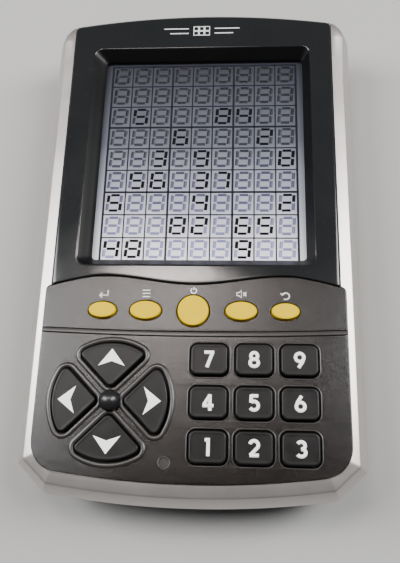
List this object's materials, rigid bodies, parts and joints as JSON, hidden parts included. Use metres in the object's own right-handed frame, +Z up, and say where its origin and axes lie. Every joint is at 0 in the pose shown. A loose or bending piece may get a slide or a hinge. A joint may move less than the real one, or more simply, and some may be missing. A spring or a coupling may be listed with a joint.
{
  "type": "handheld electronic puzzle game",
  "caption": "Handheld electronic number-puzzle game with a segment LCD, number keys, arrow keys, yellow function buttons and a sliding battery door.",
  "frame": {"origin": "on the surface that the feet rest on, under the middle of the case", "axes": "+Z up through the face, +Y towards the top end, +X to the right seen from the front"},
  "size_m": [0.095, 0.154, 0.0286],
  "materials": {
    "silver_case": "metallic satin paint",
    "gloss_bezel": "high gloss",
    "clear_window": "clear polished",
    "grained_panel": "fine spark grain",
    "dark_shell": "fine spark grain",
    "foot_rubber": "matte",
    "key_rubber": "matte, painted",
    "yellow_button": "matte",
    "grey_plunger": "matte",
    "lcd_glass": "liquid crystal glass",
    "white_holder": "moulded",
    "connector_rubber": "soft",
    "board_laminate": "solder mask",
    "chip_resin": "resin",
    "part_sleeve": "shrink sleeve",
    "dome_rubber": "silicone",
    "piezo_brass": "plain",
    "wire_sleeve": "sleeve",
    "cell_jacket": "printed jacket",
    "plated_steel": "nickel plated"
  },
  "bodies": {
    "case": {"front_housing": "silver_case", "display_bezel": "gloss_bezel", "window_lens": "clear_window", "keypad_panel": "grained_panel", "rear_housing": "dark_shell", "rubber_feet": "foot_rubber", "nav_ball": "gloss_bezel", "lcd_panel": "lcd_glass", "lcd_frame": "white_holder", "lcd_connector": "connector_rubber", "main_board": "board_laminate", "controller_chip": "chip_resin", "board_parts": "part_sleeve", "number_mat": "dome_rubber", "arrow_mat": "dome_rubber", "button_mat": "dome_rubber", "reset_switch": "chip_resin", "piezo_speaker": "piezo_brass", "speaker_wires": "wire_sleeve", "batteries": "cell_jacket", "battery_springs": "plated_steel", "battery_plates": "plated_steel", "case_screws": "plated_steel", "board_screws": "plated_steel"},
    "key_1": {"key_1": "key_rubber"},
    "key_2": {"key_2": "key_rubber"},
    "key_3": {"key_3": "key_rubber"},
    "key_4": {"key_4": "key_rubber"},
    "key_5": {"key_5": "key_rubber"},
    "key_6": {"key_6": "key_rubber"},
    "key_7": {"key_7": "key_rubber"},
    "key_8": {"key_8": "key_rubber"},
    "key_9": {"key_9": "key_rubber"},
    "key_up": {"key_up": "key_rubber"},
    "key_down": {"key_down": "key_rubber"},
    "key_left": {"key_left": "key_rubber"},
    "key_right": {"key_right": "key_rubber"},
    "button_enter": {"button_enter": "yellow_button"},
    "button_mode": {"button_mode": "yellow_button"},
    "button_power": {"button_power": "yellow_button"},
    "button_mute": {"button_mute": "yellow_button"},
    "button_undo": {"button_undo": "yellow_button"},
    "reset_button": {"reset_button": "grey_plunger"},
    "battery_door": {"battery_door": "dark_shell"}
  },
  "joints": [
    {"name": "press_key_1", "type": "slide", "parent": "case", "child": "key_1", "axis": [0, 0, -1], "range_m": [0, 0.001], "stiffness_N_per_m": 400, "springref_m": -0.0003, "deforming": ["number_mat"]},
    {"name": "press_key_2", "type": "slide", "parent": "case", "child": "key_2", "axis": [0, 0, -1], "range_m": [0, 0.001], "stiffness_N_per_m": 400, "springref_m": -0.0003, "deforming": ["number_mat"]},
    {"name": "press_key_3", "type": "slide", "parent": "case", "child": "key_3", "axis": [0, 0, -1], "range_m": [0, 0.001], "stiffness_N_per_m": 400, "springref_m": -0.0003, "deforming": ["number_mat"]},
    {"name": "press_key_4", "type": "slide", "parent": "case", "child": "key_4", "axis": [0, 0, -1], "range_m": [0, 0.001], "stiffness_N_per_m": 400, "springref_m": -0.0003, "deforming": ["number_mat"]},
    {"name": "press_key_5", "type": "slide", "parent": "case", "child": "key_5", "axis": [0, 0, -1], "range_m": [0, 0.001], "stiffness_N_per_m": 400, "springref_m": -0.0003, "deforming": ["number_mat"]},
    {"name": "press_key_6", "type": "slide", "parent": "case", "child": "key_6", "axis": [0, 0, -1], "range_m": [0, 0.001], "stiffness_N_per_m": 400, "springref_m": -0.0003, "deforming": ["number_mat"]},
    {"name": "press_key_7", "type": "slide", "parent": "case", "child": "key_7", "axis": [0, 0, -1], "range_m": [0, 0.001], "stiffness_N_per_m": 400, "springref_m": -0.0003, "deforming": ["number_mat"]},
    {"name": "press_key_8", "type": "slide", "parent": "case", "child": "key_8", "axis": [0, 0, -1], "range_m": [0, 0.001], "stiffness_N_per_m": 400, "springref_m": -0.0003, "deforming": ["number_mat"]},
    {"name": "press_key_9", "type": "slide", "parent": "case", "child": "key_9", "axis": [0, 0, -1], "range_m": [0, 0.001], "stiffness_N_per_m": 400, "springref_m": -0.0003, "deforming": ["number_mat"]},
    {"name": "press_key_up", "type": "slide", "parent": "case", "child": "key_up", "axis": [0, 0, -1], "range_m": [0, 0.001], "stiffness_N_per_m": 400, "springref_m": -0.0003, "deforming": ["arrow_mat"]},
    {"name": "press_key_down", "type": "slide", "parent": "case", "child": "key_down", "axis": [0, 0, -1], "range_m": [0, 0.001], "stiffness_N_per_m": 400, "springref_m": -0.0003, "deforming": ["arrow_mat"]},
    {"name": "press_key_left", "type": "slide", "parent": "case", "child": "key_left", "axis": [0, 0, -1], "range_m": [0, 0.001], "stiffness_N_per_m": 400, "springref_m": -0.0003, "deforming": ["arrow_mat"]},
    {"name": "press_key_right", "type": "slide", "parent": "case", "child": "key_right", "axis": [0, 0, -1], "range_m": [0, 0.001], "stiffness_N_per_m": 400, "springref_m": -0.0003, "deforming": ["arrow_mat"]},
    {"name": "press_button_enter", "type": "slide", "parent": "case", "child": "button_enter", "axis": [0, 0, -1], "range_m": [0, 0.001], "stiffness_N_per_m": 400, "springref_m": -0.0003, "deforming": ["button_mat"]},
    {"name": "press_button_mode", "type": "slide", "parent": "case", "child": "button_mode", "axis": [0, 0, -1], "range_m": [0, 0.001], "stiffness_N_per_m": 400, "springref_m": -0.0003, "deforming": ["button_mat"]},
    {"name": "press_button_power", "type": "slide", "parent": "case", "child": "button_power", "axis": [0, 0, -1], "range_m": [0, 0.001], "stiffness_N_per_m": 400, "springref_m": -0.0003, "deforming": ["button_mat"]},
    {"name": "press_button_mute", "type": "slide", "parent": "case", "child": "button_mute", "axis": [0, 0, -1], "range_m": [0, 0.001], "stiffness_N_per_m": 400, "springref_m": -0.0003, "deforming": ["button_mat"]},
    {"name": "press_button_undo", "type": "slide", "parent": "case", "child": "button_undo", "axis": [0, 0, -1], "range_m": [0, 0.001], "stiffness_N_per_m": 400, "springref_m": -0.0003, "deforming": ["button_mat"]},
    {"name": "press_reset_button", "type": "slide", "parent": "case", "child": "reset_button", "axis": [0, 0, -1], "range_m": [0, 0.0004], "stiffness_N_per_m": 300, "springref_m": -0.0003},
    {"name": "battery_door_slide", "type": "slide", "parent": "case", "child": "battery_door", "axis": [0, -1, 0], "range_m": [0, 0.028]}
  ]
}
